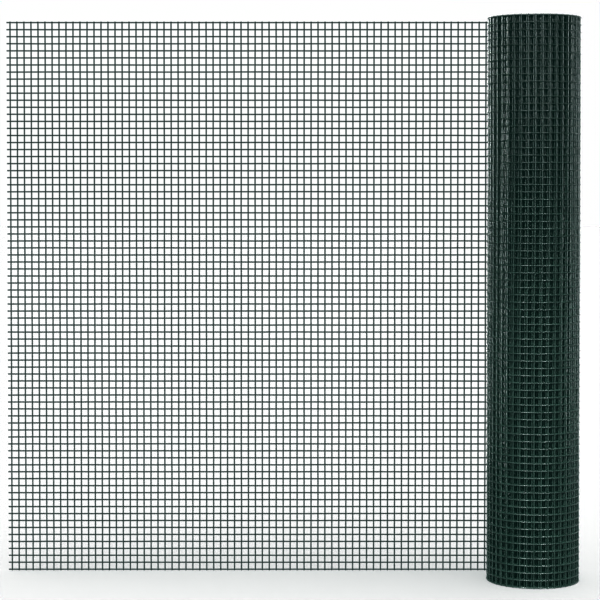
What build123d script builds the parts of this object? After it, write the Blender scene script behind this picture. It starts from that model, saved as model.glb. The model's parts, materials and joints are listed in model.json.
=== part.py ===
"""Roll of welded wire mesh fencing, standing on end with its free end drawn out flat.

The mesh is 1 m high, of line wires that run along its length and cross wires welded to them.
The roll is one turned solid: its wound turns show as rings on both ends, round an open bore.
The flat stretch leaves the back of the roll and is modelled wire by wire, in upright strips.
The origin is on the roll's axis, in the plane of its lower end; X runs along the flat stretch,
which lies on the -X side, and Y across it, with the flat stretch on the +Y side of the roll.
"""

import os
from math import floor, sqrt

from build123d import *

# Mesh, in millimetres
mesh_height = 1000.0  # over the ends of the cross wires
cell_pitch = 12.7  # between the centres of neighbouring wires
wire_width = 2.2  # across the coated wire
weld_spacing = 1.0  # between the centre planes of the line wires and the cross wires
selvedge_overhang = 0.5  # cross wire past the outermost line wires

# Roll
roll_radius = 85.0
bore_radius = 24.2
turn_pitch = wire_width + weld_spacing  # a turn rests on the one inside it
turn_groove_width = 1.5
turn_groove_depth = 2.0

# Flat stretch
unrolled_length = 940.0  # from the roll's axis to the last cross wire
cut_stub_length = 6.6  # line wire past the last cross wire, where the length was cut
seat_clearance = 0.2  # between the flat stretch and the roll's surface
wires_per_strip = 5  # cross wires in one strip

# Places that follow from those sizes
line_wire_count = floor((mesh_height - wire_width) / cell_pitch) + 1
outer_line_wire_span = mesh_height - 2 * selvedge_overhang - wire_width
row_pitch = outer_line_wire_span / (line_wire_count - 1)
turn_count = round((roll_radius - bore_radius) / turn_pitch)
turn_spacing = (roll_radius - bore_radius) / turn_count
mesh_thickness = wire_width + weld_spacing
clear_radius = roll_radius + seat_clearance
nearest_cross_wire = sqrt(clear_radius**2 - (roll_radius - mesh_thickness) ** 2) + wire_width / 2
cross_wire_count = floor((unrolled_length - nearest_cross_wire) / cell_pitch) + 1
line_wire_plane = Plane.XZ.offset(-roll_radius)
cross_wire_plane = Plane.XZ.offset(-(roll_radius - weld_spacing))


def cross_wire_x(index):
    """Place along X of a cross wire, counted from the free end."""
    return -unrolled_length + index * cell_pitch


def make_roll():
    """The wound turns as one ring, with a groove between neighbouring turns on both ends."""
    middle = ((roll_radius + bore_radius) / 2, mesh_height / 2)
    half_width = turn_groove_width / 2
    groove = [(-half_width, 0), (0, turn_groove_depth), (half_width, 0), (0, -turn_groove_depth)]
    with BuildPart() as roll:
        with BuildSketch(Plane.XZ):
            with Locations(middle):
                Rectangle(roll_radius - bore_radius, mesh_height)
                with GridLocations(turn_spacing, mesh_height, turn_count - 1, 2):
                    Polygon(*groove, align=None, mode=Mode.SUBTRACT)
        revolve(axis=Axis.Z)
    return roll.part


def make_strip(first_wire, wire_total):
    """A full-height strip of the flat stretch, its square wires fused where they cross."""
    is_free_end = first_wire == 0
    meets_roll = first_wire + wire_total == cross_wire_count
    left_margin = cut_stub_length if is_free_end else cell_pitch / 2
    left = cross_wire_x(first_wire) - left_margin
    right = 0 if meets_roll else cross_wire_x(first_wire + wire_total - 1) + cell_pitch / 2
    cross_wire_middle = cross_wire_x(first_wire + (wire_total - 1) / 2)
    with BuildPart() as strip:
        with BuildSketch(line_wire_plane):
            with Locations(((left + right) / 2, mesh_height / 2)):
                with GridLocations(0, row_pitch, 1, line_wire_count):
                    Rectangle(right - left, wire_width)
        extrude(amount=wire_width)
        with BuildSketch(cross_wire_plane):
            with Locations((cross_wire_middle, mesh_height / 2)):
                with GridLocations(cell_pitch, 0, wire_total, 1):
                    Rectangle(wire_width, mesh_height)
        extrude(amount=wire_width)
        if meets_roll:
            Cylinder(
                clear_radius,
                mesh_height,
                align=(Align.CENTER, Align.CENTER, Align.MIN),
                mode=Mode.SUBTRACT,
            )
    return strip.part


def export_piece(piece, name):
    """Writes one piece; without the curves on each face, a strip's file is a third of the size."""
    piece.label = name
    export_step(piece, f"parts/{name}.step", write_pcurves=False)


os.makedirs("parts", exist_ok=True)
export_piece(make_roll(), "rolled_mesh")

repeated_strip = make_strip(wires_per_strip, wires_per_strip)
for number, first_wire in enumerate(range(0, cross_wire_count, wires_per_strip), start=1):
    wire_total = min(wires_per_strip, cross_wire_count - first_wire)
    if first_wire == 0 or first_wire + wire_total == cross_wire_count:
        strip = make_strip(first_wire, wire_total)
    else:
        strip = Pos((first_wire - wires_per_strip) * cell_pitch, 0, 0) * repeated_strip
    export_piece(strip, f"mesh_strip_{number:02d}")

print(f"{line_wire_count} line wires, {cross_wire_count} cross wires, {turn_count} turns")
print(f"row pitch {row_pitch:.3f} mm, turn spacing {turn_spacing:.3f} mm")
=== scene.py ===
# %% [markdown]
# # A roll of welded wire mesh
#
# The object is one length of green plastic-coated mesh. Most of it is wound into a roll that
# stands on end, and almost a metre of it is drawn out flat to the left, as a shop shows it.
# This file dresses the measured model: it keeps every size and place, and replaces the plain
# solids with round wires that are really wound.

# %% Load the frame
import json
import math

import bpy
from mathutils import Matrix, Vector


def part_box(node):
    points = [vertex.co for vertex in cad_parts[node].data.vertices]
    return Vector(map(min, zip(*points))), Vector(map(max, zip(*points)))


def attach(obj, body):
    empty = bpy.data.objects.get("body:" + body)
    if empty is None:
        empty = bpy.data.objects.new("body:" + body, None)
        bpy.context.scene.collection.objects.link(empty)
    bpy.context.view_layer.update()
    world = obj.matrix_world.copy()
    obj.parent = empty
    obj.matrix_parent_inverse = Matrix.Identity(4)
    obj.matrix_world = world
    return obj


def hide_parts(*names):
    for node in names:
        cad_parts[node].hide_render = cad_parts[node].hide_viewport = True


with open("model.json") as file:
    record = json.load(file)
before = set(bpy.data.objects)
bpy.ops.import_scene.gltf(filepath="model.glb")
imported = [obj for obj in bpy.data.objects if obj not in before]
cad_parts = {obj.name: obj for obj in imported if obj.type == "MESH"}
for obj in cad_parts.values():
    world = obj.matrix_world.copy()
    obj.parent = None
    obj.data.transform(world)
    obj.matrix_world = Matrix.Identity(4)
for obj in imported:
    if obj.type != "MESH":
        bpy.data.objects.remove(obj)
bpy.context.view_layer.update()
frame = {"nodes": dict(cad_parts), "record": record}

# %% [markdown]
# ## Sizes
#
# A welding machine makes the mesh flat, from line wires that run along its length and cross
# wires that stand across them. So the sizes here are those of the flat mesh, and of the way it
# is wound. The overall ones are read from the frame, because a number that is written twice
# can drift apart. Those of the wire aren't in the frame, so they repeat the measured model's.

# %% Sizes of the mesh
MM = 0.001
WIRE = 2.2 * MM  # across the coated wire
CORE = 1.4 * MM  # across the bare steel in it
CELL = 12.7 * MM  # from one cross wire to the next
WELD_SPACING = 1.0 * MM  # from the middle of the line wires to the middle of the cross wires
SELVEDGE = 0.5 * MM  # of each cross wire past the outermost line wires
CUT_STUB = 6.6 * MM  # of each line wire past the last cross wire

roll_low, roll_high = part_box("rolled_mesh")
free_low, free_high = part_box("mesh_strip_01")
HEIGHT = roll_high.z - roll_low.z
FREE_END = free_low.x + CUT_STUB
ROWS = math.floor((HEIGHT - WIRE) / CELL) + 1
FIRST_ROW = SELVEDGE + WIRE / 2
ROW_PITCH = (HEIGHT - 2 * FIRST_ROW) / (ROWS - 1)
print(f"{ROWS} line wires, one each {ROW_PITCH / MM:.2f} mm, {-FREE_END:.2f} m flat")

# %% Sizes of the roll
SLACK = 0.44 * MM  # keeps the uneven outer turn inside the measured model
TURN_PITCH = WIRE + WELD_SPACING  # each turn rests on the one inside it
ROLL_RADIUS = free_high.y
BORE_RADIUS = [m for m in frame["record"]["mounts"] if m["name"] == "bore"][0]["dims"]["r_mm"] * MM
LINE_RADIUS = ROLL_RADIUS - WIRE / 2 - SLACK
INNER_LINE_RADIUS = BORE_RADIUS + WELD_SPACING + WIRE / 2


def wound_down_to(radius):
    """Length of mesh wound between the outside of the roll and a smaller radius."""
    return math.pi * (LINE_RADIUS**2 - radius**2) / TURN_PITCH


def wound_after(turns):
    """Length of mesh in the outermost turns of the roll."""
    return wound_down_to(LINE_RADIUS - turns * TURN_PITCH)


WOUND_LENGTH = wound_down_to(INNER_LINE_RADIUS)
CROSS_WIRES = math.floor((WOUND_LENGTH - FREE_END) / CELL)
print(f"{CROSS_WIRES} cross wires, {WOUND_LENGTH:.2f} m wound")

# %% [markdown]
# ## Small helpers for node trees
#
# Node trees could be drawn by hand in the editor, but a tree built in code can be read and
# repeated. These helpers add a node, give it its settings, and link or fill its inputs, so
# that a tree reads from top to bottom like a recipe.

# %% Node helpers


def place(tree, kind, inputs=None, **settings):
    """Adds a node; each input is given by name or number, as a socket to link or a plain value."""
    made = tree.nodes.new(kind)
    for name, value in settings.items():
        setattr(made, name, value)
    for key, value in (inputs or {}).items():
        if isinstance(value, bpy.types.NodeSocket):
            tree.links.new(value, made.inputs[key])
        else:
            made.inputs[key].default_value = value
    return made


def maths(tree, operation, *values):
    """The result of one Math node."""
    return place(tree, "ShaderNodeMath", dict(enumerate(values)), operation=operation).outputs[0]


def vector(tree, x=0.0, y=0.0, z=0.0):
    """A vector of three sockets or numbers."""
    return place(tree, "ShaderNodeCombineXYZ", {"X": x, "Y": y, "Z": z}).outputs[0]


# %% Start and end of a geometry tree


def new_tree(name, inputs):
    """A geometry tree with named inputs, and the sockets that give them inside it."""
    tree = bpy.data.node_groups.new(name, "GeometryNodeTree")
    tree.interface.new_socket("Geometry", in_out="OUTPUT", socket_type="NodeSocketGeometry")
    for label, kind in inputs:
        tree.interface.new_socket(label, in_out="INPUT", socket_type="NodeSocket" + kind)
    return tree, tree.nodes.new("NodeGroupInput").outputs


def end_tree(tree, geometry):
    """Makes a geometry the result of the tree."""
    place(tree, "NodeGroupOutput", {"Geometry": geometry})
    print(tree.name, "has", len(tree.nodes), "nodes")


# %% [markdown]
# ## Winding the mesh
#
# On the real machine the flat mesh is wound round a mandrel. Each wire of the roll could be
# drawn as a spiral of its own, but then line wires, cross wires and welds would each need a
# formula. It is simpler to do as the machine does: all of them are made flat, and one tree
# winds whatever it is given, so they stay together.
#
# In the flat mesh a point has a distance along the mesh (X), a distance off the plane of the
# line wires (Y) and a height (Z). X is 0 where the mesh meets the roll, and negative before.

# %% What the winding tree is given
WIND_INPUTS = [
    ("Line Radius", "Float"), ("Turn Pitch", "Float"), ("Height", "Float"),
    ("Cell Error", "Float"), ("Lean", "Float"), ("Dent", "Float"), ("Seed", "Float"),
]
wind, given = new_tree("wind_up", [("Geometry", "Geometry")] + WIND_INPUTS)
position = place(wind, "GeometryNodeInputPosition").outputs[0]
here = place(wind, "ShaderNodeSeparateXYZ", {0: position}).outputs
print(wind.name, "takes", [label for label, _ in WIND_INPUTS])

# %% [markdown]
# ## Uneven wires
#
# No mesh is perfect: cells are a fraction of a millimetre out of square, and in the roll the
# cross wires lean. Moving each wire by a random amount would tear it from its welds. Slow
# noises move the points instead, so that what lies close together moves together. The error of
# a cell changes quickly from one wire to the next and slowly along a wire.

# %% Noises for the tree
NOISE_STRETCH = 3.0  # the noise keeps near its middle, and this brings it to about -1 to 1


def noise_at(tree, x, y, z, seed, detail=0.0):
    """A noise from about -1 to 1 at a point, alike on every run for the same seed."""
    noise = place(
        tree, "ShaderNodeTexNoise",
        {"Vector": vector(tree, x, y, z), "W": seed, "Scale": 1.0, "Detail": detail},
        noise_dimensions="4D",
    )
    centred = maths(tree, "SUBTRACT", noise.outputs[0], 0.5)
    return maths(tree, "MULTIPLY", centred, NOISE_STRETCH)


def per(tree, value, length):
    """A value counted in units of a length in metres."""
    return maths(tree, "DIVIDE", value, length)


# %% Errors along the mesh and up it
ACROSS_WIRES = 30 * MM
ALONG_WIRE = 90 * MM
LEAN_CHANGE = (250 * MM, 600 * MM)  # along the mesh and up it

far_seed = maths(wind, "ADD", given["Seed"], 10.0)
lean_seed = maths(wind, "ADD", given["Seed"], 20.0)
along_error = noise_at(
    wind, per(wind, here["X"], ACROSS_WIRES), 0.0, per(wind, here["Z"], ALONG_WIRE), given["Seed"]
)
up_error = noise_at(
    wind, per(wind, here["X"], ALONG_WIRE), 0.0, per(wind, here["Z"], ACROSS_WIRES), far_seed
)
lean = noise_at(
    wind, per(wind, here["X"], LEAN_CHANGE[0]), 0.0, per(wind, here["Z"], LEAN_CHANGE[1]), lean_seed
)
print("noises change over", ACROSS_WIRES, ALONG_WIRE, LEAN_CHANGE, "m")

# %% The uneven flat mesh
END_FADE = 30 * MM  # the height error fades out towards both ends, so that their edges stay even
LEAN_FADE = 300 * MM  # the lean grows over this length of wound mesh

to_end = maths(wind, "MINIMUM", here["Z"], maths(wind, "SUBTRACT", given["Height"], here["Z"]))
away_from_end = maths(wind, "MINIMUM", per(wind, to_end, END_FADE), 1.0)
in_roll = maths(wind, "MINIMUM", maths(wind, "MAXIMUM", per(wind, here["X"], LEAN_FADE), 0.0), 1.0)

along = maths(wind, "MULTIPLY_ADD", along_error, given["Cell Error"], here["X"])
along = maths(wind, "MULTIPLY_ADD", maths(wind, "MULTIPLY", lean, in_roll), given["Lean"], along)
rise = maths(wind, "MULTIPLY", maths(wind, "MULTIPLY", up_error, given["Cell Error"]), away_from_end)
height = maths(wind, "ADD", here["Z"], rise)
print("lean grows over", LEAN_FADE, "m")

# %% [markdown]
# ## The spiral
#
# The turns of a roll lie one mesh thickness apart, on a spiral. A curve modifier could bend the
# mesh, but the spiral would have to be drawn first, and its formula is short. The length wound
# between two radii is the area of the ring between them divided by the turn pitch. So the
# radius at a given length is a square root, and each turn pitch of lost radius is one full turn.

# %% From length to angle and radius
wound = maths(wind, "MAXIMUM", along, 0.0)
flat = maths(wind, "MINIMUM", along, 0.0)
square_lost = maths(wind, "MULTIPLY", maths(wind, "MULTIPLY", wound, given["Turn Pitch"]), 1 / math.pi)
first_square = maths(wind, "MULTIPLY", given["Line Radius"], given["Line Radius"])
turn_radius = maths(wind, "SQRT", maths(wind, "SUBTRACT", first_square, square_lost))
radius_lost = maths(wind, "SUBTRACT", given["Line Radius"], turn_radius)
turns = maths(wind, "DIVIDE", radius_lost, given["Turn Pitch"])
angle = maths(wind, "MULTIPLY", turns, 2 * math.pi)
sine, cosine = maths(wind, "SINE", angle), maths(wind, "COSINE", angle)
reach = maths(wind, "ADD", turn_radius, here["Y"])


def on_the_spiral(reach):
    """X and Y of a point at a distance from the roll's axis, or on the flat stretch."""
    return maths(wind, "MULTIPLY_ADD", reach, sine, flat), maths(wind, "MULTIPLY", reach, cosine)


print("the spiral starts at", round(LINE_RADIUS, 4), "m")

# %% [markdown]
# ## Dents
#
# A wound roll isn't quite round, and a sheet of mesh isn't quite flat. Sculpting would shape
# one turn at a time. A noise that reads the place on the wound roll presses neighbouring turns
# in together, as a real dent does.

# %% Dents, and the end of the winding tree
DENT_SIZE = (110 * MM, 160 * MM)  # across and up

x_round, y_round = on_the_spiral(reach)
dent = noise_at(
    wind, per(wind, x_round, DENT_SIZE[0]), per(wind, y_round, DENT_SIZE[0]), per(wind, height, DENT_SIZE[1]),
    given["Seed"], detail=1.0,
)
depth = maths(wind, "MULTIPLY", maths(wind, "MULTIPLY_ADD", dent, 0.5, 0.5), given["Dent"])
dented = maths(wind, "SUBTRACT", reach, maths(wind, "MAXIMUM", depth, 0.0))
there = vector(wind, *on_the_spiral(dented), height)
moved = place(wind, "GeometryNodeSetPosition", {"Geometry": given["Geometry"], "Position": there})
end_tree(wind, moved.outputs[0])


def finish_tree(tree, given, geometry):
    """Winds the flat geometry, shades it smooth, gives it its material and ends the tree."""
    wound_up = place(tree, "GeometryNodeGroup", node_tree=wind)
    tree.links.new(geometry, wound_up.inputs["Geometry"])
    for label, _ in WIND_INPUTS:
        tree.links.new(given[label], wound_up.inputs[label])
    smooth = place(tree, "GeometryNodeSetShadeSmooth", {0: wound_up.outputs[0]})
    coated = place(
        tree, "GeometryNodeSetMaterial",
        {"Geometry": smooth.outputs[0], "Material": given["Material"]},
    )
    end_tree(tree, coated.outputs[0])


# %% [markdown]
# ## One wire, and its copies
#
# Line wires and cross wires are the same wire, laid in two directions. A cylinder could be
# stretched to its length, but a curve with a round profile can be cut into as many pieces as
# its bend needs. Each tree makes one such wire, copies it as instances and makes them real.

# %% Helpers for wires
WIRE_INPUTS = [
    ("Start", "Float"), ("Off Plane", "Float"), ("Pieces", "Int"),
    ("Wire Radius", "Float"), ("Sides", "Int"), ("Material", "Material"),
]


def round_wire(tree, given, start, stop):
    """A round wire from one point to another, cut into equal pieces."""
    straight = place(tree, "GeometryNodeCurvePrimitiveLine", {"Start": start, "End": stop})
    points = maths(tree, "ADD", given["Pieces"], 1.0)
    divided = place(tree, "GeometryNodeResampleCurve", {"Curve": straight.outputs[0], "Count": points})
    profile = place(
        tree, "GeometryNodeCurvePrimitiveCircle",
        {"Resolution": given["Sides"], "Radius": given["Wire Radius"]},
    )
    wire = place(
        tree, "GeometryNodeCurveToMesh",
        {"Curve": divided.outputs[0], "Profile Curve": profile.outputs[0], "Fill Caps": True},
    )
    return wire.outputs[0]


def copied(tree, piece, places, scale=(1.0, 1.0, 1.0)):
    """Real copies of a piece, one at each place."""
    copies = place(
        tree, "GeometryNodeInstanceOnPoints",
        {"Points": places, "Instance": piece, "Scale": scale},
    )
    return place(tree, "GeometryNodeRealizeInstances", {0: copies.outputs[0]}).outputs[0]


def in_a_row(tree, piece, count, first, step):
    """Real copies of a piece at equal steps."""
    places = place(
        tree, "GeometryNodeMeshLine",
        {"Count": count, "Start Location": first, "Offset": step},
    )
    return copied(tree, piece, places.outputs[0])


# %% [markdown]
# ## The line wires
#
# A line wire runs along the whole mesh, straight in the flat stretch and round and round in the
# roll. Drawing it as a spiral curve would also do, but the flat wire needs only its two ends,
# and the same tree then makes the flat stretch and every turn. It is copied up the height of
# the mesh, at the row pitch.

# %% Tree of line wires
LINE_INPUTS = [("Length", "Float"), ("Rows", "Int"), ("First Row", "Float"), ("Row Pitch", "Float")]
line_tree, given = new_tree("line_wires", WIRE_INPUTS + LINE_INPUTS + WIND_INPUTS)
stop = maths(line_tree, "ADD", given["Start"], given["Length"])
line_wire = round_wire(
    line_tree, given,
    vector(line_tree, x=given["Start"], y=given["Off Plane"]),
    vector(line_tree, x=stop, y=given["Off Plane"]),
)
line_wires = in_a_row(
    line_tree, line_wire, given["Rows"],
    vector(line_tree, z=given["First Row"]), vector(line_tree, z=given["Row Pitch"]),
)
finish_tree(line_tree, given, line_wires)

# %% [markdown]
# ## The cross wires
#
# A cross wire is as long as the mesh is high. It lies on the inner side of the line wires, sunk
# a little into them by the weld. An array modifier could repeat it, but it would have to be
# bent in a second step. Here the tree stands one wire at each place along the flat mesh, and
# hands them all to the winding.

# %% Tree of cross wires
CROSS_INPUTS = [("Count", "Int"), ("Cell", "Float")]
cross_tree, given = new_tree("cross_wires", WIRE_INPUTS + CROSS_INPUTS + WIND_INPUTS)
cross_wire = round_wire(
    cross_tree, given,
    vector(cross_tree, y=given["Off Plane"]),
    vector(cross_tree, y=given["Off Plane"], z=given["Height"]),
)
cross_wires = in_a_row(
    cross_tree, cross_wire, given["Count"],
    vector(cross_tree, x=given["Start"]), vector(cross_tree, x=given["Cell"]),
)
finish_tree(cross_tree, given, cross_wires)

# %% [markdown]
# ## The welds
#
# The mesh is dipped in plastic after it is welded, so the coating fills the corner where two
# wires cross and makes a small swelling there. Joining the wires with a boolean would take
# thousands of cuts. A low ball of a few faces between the two wires, wider than it is deep,
# gives the same swelling on each crossing.

# %% Tree of welds
WELD_INPUTS = [
    ("Start", "Float"), ("Count", "Int"), ("Cell", "Float"), ("Off Plane", "Float"),
    ("Rows", "Int"), ("First Row", "Float"), ("Row Pitch", "Float"),
    ("Width", "Float"), ("Depth", "Float"), ("Material", "Material"),
]
weld_tree, given = new_tree("welds", WELD_INPUTS + WIND_INPUTS)
across = maths(weld_tree, "MULTIPLY", maths(weld_tree, "SUBTRACT", given["Count"], 1.0), given["Cell"])
upward = maths(weld_tree, "MULTIPLY", maths(weld_tree, "SUBTRACT", given["Rows"], 1.0), given["Row Pitch"])
crossings = place(
    weld_tree, "GeometryNodeMeshGrid",
    {"Size X": across, "Size Y": upward, "Vertices X": given["Count"], "Vertices Y": given["Rows"]},
)
middle = vector(
    weld_tree,
    x=maths(weld_tree, "MULTIPLY_ADD", across, 0.5, given["Start"]),
    y=given["Off Plane"],
    z=maths(weld_tree, "MULTIPLY_ADD", upward, 0.5, given["First Row"]),
)
stood_up = place(
    weld_tree, "GeometryNodeTransform",
    {"Geometry": crossings.outputs[0], "Translation": middle, "Rotation": (math.pi / 2, 0.0, 0.0)},
)
ball = place(weld_tree, "GeometryNodeMeshIcoSphere", {"Radius": 0.5, "Subdivisions": 1})
size = vector(weld_tree, x=given["Width"], y=given["Depth"], z=given["Width"])
finish_tree(weld_tree, given, copied(weld_tree, ball.outputs[0], stood_up.outputs[0], size))

# %% [markdown]
# ## The coating
#
# The welded mesh is dipped in dark bluish-green plastic. It is glossy, and a little uneven in
# tone, shine and thickness. A picture of such plastic would repeat itself on every wire. Noises
# don't, and because they read Object coordinates, they stay on the wires from any side.

# %% Helpers for materials


def new_material(name):
    """A material, its node tree and the inputs of its shader."""
    material = bpy.data.materials.new(name)
    material.use_nodes = True
    tree = material.node_tree
    return material, tree, tree.nodes["Principled BSDF"].inputs


def noise_on(tree, scale, detail):
    """A noise fixed to the piece."""
    where = place(tree, "ShaderNodeTexCoord").outputs["Object"]
    return place(tree, "ShaderNodeTexNoise", {"Vector": where, "Scale": scale, "Detail": detail}).outputs[0]


def two_tones(tree, noise, first, second):
    """Colours that go from one stop to another; a stop is a place on the noise and a colour."""
    ramp = place(tree, "ShaderNodeValToRGB", {"Fac": noise})
    for stop, (where, colour) in zip(ramp.color_ramp.elements, (first, second)):
        stop.position = where
        stop.color = (*colour, 1)
    return ramp.outputs[0]


# %% Material of the coating
DEEP_GREEN = (0.0112, 0.0217, 0.0172)
PALER_GREEN = (0.0208, 0.0403, 0.032)

coating, tree, shader = new_material("green_coating")
tone = two_tones(tree, noise_on(tree, scale=60.0, detail=3.0), (0.3, DEEP_GREEN), (0.72, PALER_GREEN))
tree.links.new(tone, shader["Base Color"])
shine = place(
    tree, "ShaderNodeMapRange",
    {
        "Value": noise_on(tree, scale=140.0, detail=2.0),
        "From Min": 0.3, "From Max": 0.7, "To Min": 0.28, "To Max": 0.42,
    },
)
tree.links.new(shine.outputs[0], shader["Roughness"])
orange_peel = place(
    tree, "ShaderNodeBump",
    {"Height": noise_on(tree, scale=900.0, detail=2.0), "Strength": 0.12, "Distance": 0.2 * MM},
)
tree.links.new(orange_peel.outputs[0], shader["Normal"])
shader["Specular IOR Level"].default_value = 0.8
print(coating.name, "has", len(tree.nodes), "nodes")

# %% [markdown]
# ## The cut steel
#
# Where the mesh was cut to length, the line wires end in bare steel, with the coating round it
# like a sleeve. A painted spot would look flat from the side. So each core is a thin wire of
# its own that stands out a little, and it gets a plain grey metal, a little uneven in tone.

# %% Material of the cut ends
DULL_STEEL = (0.16, 0.165, 0.17)
BRIGHT_STEEL = (0.42, 0.43, 0.44)

cut_steel, tree, shader = new_material("cut_steel")
tone = two_tones(tree, noise_on(tree, scale=2500.0, detail=2.0), (0.0, DULL_STEEL), (1.0, BRIGHT_STEEL))
tree.links.new(tone, shader["Base Color"])
shader["Metallic"].default_value = 1.0
shader["Roughness"].default_value = 0.38
print(cut_steel.name, "has", len(tree.nodes), "nodes")

# %% [markdown]
# ## Growing the pieces
#
# The mesh is one thing, but a single piece of it would be too heavy and hard to change, so it
# is grown in parts. Each starts as an empty mesh with one of the trees on it. The result is
# taken as a plain mesh and the modifier goes, so that nothing is live when it joins the frame.

# %% Function that grows a piece
WIND_VALUES = {
    "Line Radius": LINE_RADIUS, "Turn Pitch": TURN_PITCH, "Height": HEIGHT,
    "Cell Error": 0.25 * MM, "Lean": 2.0 * MM, "Dent": 0.7 * MM, "Seed": 3.0,
}


def grow(name, tree, values, stands_for):
    """Runs a tree with these inputs and makes its result a piece of the object."""
    piece = bpy.data.objects.new(name, bpy.data.meshes.new(name + "_start"))
    bpy.context.scene.collection.objects.link(piece)
    modifier = piece.modifiers.new("grow", "NODES")
    modifier.node_group = tree
    known = {"Material": coating, **WIND_VALUES, **values}
    for socket in tree.interface.items_tree:
        if socket.in_out == "INPUT":
            modifier[socket.identifier] = known[socket.name]
    graph = bpy.context.evaluated_depsgraph_get()
    mesh = bpy.data.meshes.new_from_object(piece.evaluated_get(graph), depsgraph=graph)
    piece.modifiers.clear()
    piece.data = mesh
    mesh.name = name
    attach(piece, "root")
    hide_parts(*stands_for)
    mesh.calc_loop_triangles()
    print(f"{name}: {len(mesh.loop_triangles)} triangles")
    return piece


# %% Line wires


def rows_of_wires(count, below=0):
    """Rows of line wires, above some that are left out."""
    return {"Rows": count, "First Row": FIRST_ROW + below * ROW_PITCH, "Row Pitch": ROW_PITCH}


ALL_ROWS = rows_of_wires(ROWS)


def grow_line_wires(name, start, stop, piece_length, sides, stands_for, rows=ALL_ROWS, width=WIRE):
    """Line wires between two distances along the mesh."""
    values = {
        "Start": start, "Length": stop - start, "Pieces": max(1, round((stop - start) / piece_length)),
        "Off Plane": 0.0, "Wire Radius": width / 2, "Sides": sides, **rows,
    }
    return grow(name, line_tree, values, stands_for)


print("all rows:", ALL_ROWS)

# %% Cross wires and welds
WELD_WIDTH = 1.4 * WIRE
WELD_DEPTH = 1.15 * WIRE


def crossings_between(start, stop):
    """The cross wires whose places lie between two distances along the mesh."""
    first = math.ceil((start - FREE_END) / CELL)
    last = min(math.ceil((stop - FREE_END) / CELL), CROSS_WIRES)
    return {"Start": FREE_END + first * CELL, "Count": last - first, "Cell": CELL}


def grow_cross_wires(name, start, stop, pieces, sides, stands_for):
    """Cross wires between two distances along the mesh."""
    values = {
        "Pieces": pieces, "Off Plane": -WELD_SPACING, "Wire Radius": WIRE / 2, "Sides": sides,
        **crossings_between(start, stop),
    }
    return grow(name, cross_tree, values, stands_for)


def grow_welds(name, start, stop, stands_for):
    """Welds between two distances along the mesh."""
    values = {
        "Off Plane": -WELD_SPACING / 2, "Width": WELD_WIDTH, "Depth": WELD_DEPTH,
        **ALL_ROWS, **crossings_between(start, stop),
    }
    return grow(name, weld_tree, values, stands_for)


print(f"welds are {WELD_WIDTH / MM:.2f} mm wide and {WELD_DEPTH / MM:.2f} mm deep")

# %% [markdown]
# ## The flat stretch
#
# This is the part of the mesh that shows best, against white. Flat bars with a bump would do
# from far off, but up close its wires have to be round and every crossing needs its weld. The
# line wires end in short stubs where the mesh was cut.

# %% Grow the flat stretch
ROUND, PLAIN, HIDDEN = 8, 6, 4  # sides of a wire that shows well, a little or hardly
FINE, COARSE = 37, 8  # pieces along a cross wire
END_GAP = 0.15 * MM  # from the cut ends to the end of the measured model
CORE_STAND_OUT = 0.2 * MM

STRIPS = sorted(name for name in frame["nodes"] if name.startswith("mesh_strip"))
core_start = FREE_END - CUT_STUB + END_GAP
before_first = FREE_END - CELL / 2

grow_line_wires("flat_line_wires", core_start + CORE_STAND_OUT, 0.0, 2 * CELL, ROUND, STRIPS)
grow_cross_wires("flat_cross_wires", before_first, 0.0, FINE, ROUND, STRIPS)
grow_welds("flat_welds", before_first, 0.0, STRIPS)
cores = grow_line_wires(
    "cut_wire_cores", core_start, FREE_END - CUT_STUB / 2, CUT_STUB, ROUND, STRIPS[:1], width=CORE
)
cores.data.materials[0] = cut_steel

# %% [markdown]
# ## The roll
#
# A tube with a mesh pattern would show one turn. The outer turns here show in full, and the
# turns under them are seen only through the cells, so their wires get fewer sides. But they are
# all there: that is what makes a real roll dark inside and gives it its depth. Round the bore
# and at both ends the turns come to light again, so the wires there are finer.

# %% Line wires of the roll
ROLL = ["rolled_mesh"]
SEEN_TURNS, TURNS_TO_BORE = 3, 17  # counted from the outside
END_ROWS = 2
SHORT, LONG = CELL / 2, 1.3 * CELL  # straight pieces that make up a turn, where it shows and where not

outer_stop = wound_after(SEEN_TURNS)
bore_start = wound_after(TURNS_TO_BORE)
hidden_rows = rows_of_wires(ROWS - 2 * END_ROWS, below=END_ROWS)
lower_rows = rows_of_wires(END_ROWS)
upper_rows = rows_of_wires(END_ROWS, below=ROWS - END_ROWS)

rolled_line_wires = [
    grow_line_wires("outer_line_wires", 0.0, outer_stop, CELL, PLAIN, ROLL),
    grow_line_wires("inner_line_wires", outer_stop, bore_start, LONG, HIDDEN, ROLL, hidden_rows),
    grow_line_wires("bore_line_wires", bore_start, WOUND_LENGTH, SHORT, PLAIN, ROLL),
    grow_line_wires("lower_selvedge_wires", outer_stop, bore_start, SHORT, PLAIN, ROLL, lower_rows),
    grow_line_wires("upper_selvedge_wires", outer_stop, bore_start, SHORT, PLAIN, ROLL, upper_rows),
]

# %% Cross wires and welds of the roll
outer_turn = wound_after(1)
rolled_cross_wires = [
    grow_cross_wires("outer_cross_wires", 0.0, outer_turn, FINE, ROUND, ROLL),
    grow_cross_wires("inner_cross_wires", outer_turn, WOUND_LENGTH, COARSE, PLAIN, ROLL),
]
rolled_welds = grow_welds("outer_welds", 0.0, outer_turn, ROLL)

# %% [markdown]
# ## The floor
#
# The photograph is a cut-out on white, and shows the mesh against nothing. A large plain floor
# comes closest. Through the cells the floor is seen right up to the horizon, so it has to be
# exactly as bright as the sky behind it, or the mesh would look lighter where the floor begins.
# That is easier with a dull pale floor under a strong light of its own than with a white one,
# because its shadows are weaker too.

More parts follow.
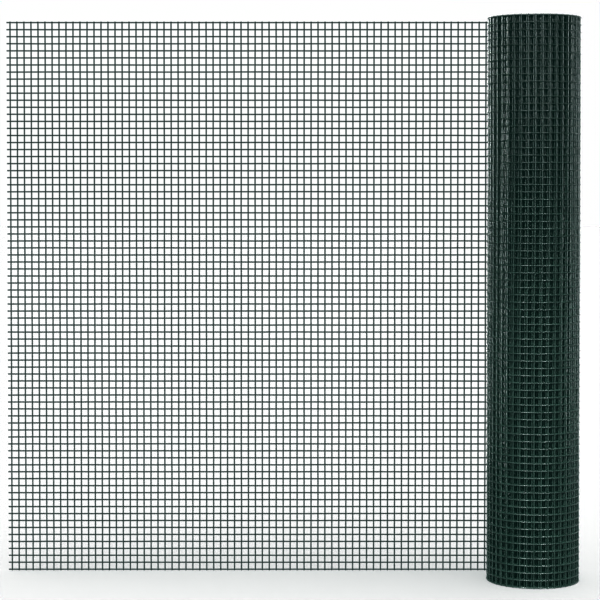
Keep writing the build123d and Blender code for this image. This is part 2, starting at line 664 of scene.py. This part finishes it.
# %% Floor
bpy.ops.mesh.primitive_plane_add(size=60.0, location=(0.0, 0.0, 0.0))
floor = bpy.context.object
floor.name = "floor"
pale, _, paint = new_material("pale_floor")
paint["Base Color"].default_value = (0.42, 0.42, 0.42, 1)
paint["Roughness"].default_value = 0.9
paint["Specular IOR Level"].default_value = 0.0
floor.data.materials.append(pale)
print("floor", floor.dimensions.x, "m wide")

# %% [markdown]
# ## The background
#
# A photographer lights such a mesh mostly from behind, from a white wall, so that its wires
# stand out dark with bright edges. An even white sky would light their fronts as much. So the
# sky is white to the camera, but its light on the object grows from the front to the back.

# %% Background
WHITE = (1, 1, 1, 1)
world = bpy.data.worlds.new("white_room")
bpy.context.scene.world = world
world.use_nodes = True
sky = world.node_tree
sky.nodes.clear()
towards = place(sky, "ShaderNodeSeparateXYZ", {0: place(sky, "ShaderNodeTexCoord").outputs["Generated"]})
strength = place(
    sky, "ShaderNodeMapRange",
    {"Value": towards.outputs["Y"], "From Min": -0.2, "From Max": 0.6, "To Min": 0.31, "To Max": 0.85},
)
lit_sky = place(sky, "ShaderNodeBackground", {"Color": WHITE, "Strength": strength.outputs[0]})
seen_sky = place(sky, "ShaderNodeBackground", {"Color": WHITE, "Strength": 1.0})
which = place(sky, "ShaderNodeMixShader", {0: place(sky, "ShaderNodeLightPath").outputs["Is Camera Ray"]})
sky.links.new(lit_sky.outputs[0], which.inputs[1])
sky.links.new(seen_sky.outputs[0], which.inputs[2])
place(sky, "ShaderNodeOutputWorld", {"Surface": which.outputs[0]})
print("background has", len(sky.nodes), "nodes")

# %% [markdown]
# ## The lights
#
# Each thing that is to show on the wires asks for a light of its own:
#
# - two columns of highlights down the lower part of the roll: two soft boxes in front, above
#   the roll and faced at its foot;
# - bright upright wires behind dark line wires near the top: a box on each side, level with the
#   roll's top, that lights the upright wires alone;
# - bright edges: a tall strip on each side, a little behind the roll;
# - the wound turns, which only a view from above shows: a box straight over the roll's end;
# - a white floor with hardly a shadow: one sun from above, and one that casts no shadow.
#
# One large light would be simpler, but it would spill on the flat stretch and make it grey.
# Light linking keeps each lamp to the pieces in one collection.

# %% What each light reaches


def collected(name, pieces):
    """A collection of pieces for lights to be linked to."""
    group = bpy.data.collections.new(name)
    for piece in pieces:
        group.objects.link(piece)
    return group


roll_only = collected("roll_only", [*rolled_line_wires, *rolled_cross_wires, rolled_welds])
upright_only = collected("upright_only", rolled_cross_wires)
floor_only = collected("floor_only", [floor])

# %% Kinds of light


def soft_light(name, reaches, *, azimuth, distance, height, size, power, aim, spread=180):
    """A soft box that faces a height on the roll's axis; azimuth 0 is straight in front."""
    lamp = bpy.data.lights.new(name, "AREA")
    lamp.shape = "RECTANGLE"
    lamp.size, lamp.size_y = size
    lamp.energy = power
    lamp.spread = math.radians(spread)
    box = bpy.data.objects.new(name, lamp)
    bpy.context.scene.collection.objects.link(box)
    turn = math.radians(azimuth)
    box.location = (distance * math.sin(turn), -distance * math.cos(turn), height)
    backwards = box.location - Vector((0.0, 0.0, aim))
    box.rotation_euler = backwards.to_track_quat("Z", "Y").to_euler()
    box.visible_camera = False
    box.light_linking.receiver_collection = reaches


def floor_sun(name, energy, casts_shadow):
    """A soft sun from above that lights the floor alone."""
    lamp = bpy.data.lights.new(name, "SUN")
    lamp.angle = math.radians(60)
    lamp.energy = energy
    lamp.use_shadow = casts_shadow
    sun = bpy.data.objects.new(name, lamp)
    sun.rotation_euler = (math.radians(12), math.radians(6), 0.0)
    bpy.context.scene.collection.objects.link(sun)
    sun.light_linking.receiver_collection = floor_only


# %% Lights
for side, azimuth in (("left", -25), ("right", 25)):
    soft_light(
        f"{side}_box", roll_only, azimuth=azimuth, distance=2.2, height=1.55, size=(0.5, 0.7),
        power=6, aim=0.0, spread=36,
    )
for side, azimuth in (("left", -70), ("right", 70)):
    soft_light(
        f"{side}_top_box", upright_only, azimuth=azimuth, distance=2.0, height=1.085, size=(0.9, 0.33),
        power=3.3, aim=0.95, spread=55,
    )
for side, azimuth, power in (("left", -128, 140), ("right", 122, 46)):
    soft_light(
        f"{side}_side_strip", upright_only, azimuth=azimuth, distance=1.8, height=0.65, size=(0.3, 1.3),
        power=power, aim=0.6,
    )
soft_light("end_box", roll_only, azimuth=0, distance=0.05, height=1.45, size=(0.3, 0.3), power=5, aim=1.0)
floor_sun("floor_sun", energy=0.9, casts_shadow=True)
floor_sun("floor_fill", energy=5.2, casts_shadow=False)
print(len(bpy.data.lights), "lights")

# %% [markdown]
# ## The tone curve
#
# Wires this thin are only a pixel or two wide, so each pixel mixes dark wire with white. The
# photograph was printed hard: its mixed greys are darker than light alone makes them, and its
# deepest shadows are a dark green, not black. Thicker wires would darken the greys too, but
# they would be wrong. The view's curves do it without: the combined one darkens the middle
# greys, the red one takes a little red out of them, and the green and blue ones start a little
# above black.

# %% Tone curve
DARKER_GREYS = ((0.04, 0.0085), (0.09, 0.025), (0.2, 0.074), (0.32, 0.14), (0.5, 0.27), (0.75, 0.53))
LESS_RED = ((0.08, 0.073), (0.2, 0.181), (0.4, 0.375), (0.7, 0.684))
DARKEST_GREEN = 0.0205
DARKEST_BLUE = 0.0165

view = bpy.context.scene.view_settings
view.view_transform = "Standard"
view.use_curve_mapping = True
tones = view.curve_mapping
red, green, blue, combined = tones.curves
for curve, bends in ((combined, DARKER_GREYS), (red, LESS_RED)):
    for given_tone, shown_tone in bends:
        curve.points.new(given_tone, shown_tone)
green.points[0].location = (0.0, DARKEST_GREEN)
blue.points[0].location = (0.0, DARKEST_BLUE)
tones.update()
print("tone curve of", len(combined.points), "points")

# %% [markdown]
# ## The camera
#
# The photograph was taken straight from the front, from above the middle of the roll: its top
# rim hardly bends and its bottom rim bends more. A camera that is tilted down to take in the
# foot would make the uprights lean together. So this one stands high and looks almost level,
# and a small lens shift moves the picture down.

# %% Camera
LOOKS_DOWN = 1.64  # degrees

camera = bpy.data.objects.new("camera", bpy.data.cameras.new("camera"))
bpy.context.scene.collection.objects.link(camera)
camera.location = (-0.414, -3.349, 0.70)
camera.rotation_euler = (math.radians(90 - LOOKS_DOWN), 0.0, 0.0)
camera.data.sensor_width = 36.0
camera.data.lens = 113.2
camera.data.shift_y = -0.098
bpy.context.scene.camera = camera
print("camera", round(camera.data.lens, 1), "mm, at", [round(v, 3) for v in camera.location])
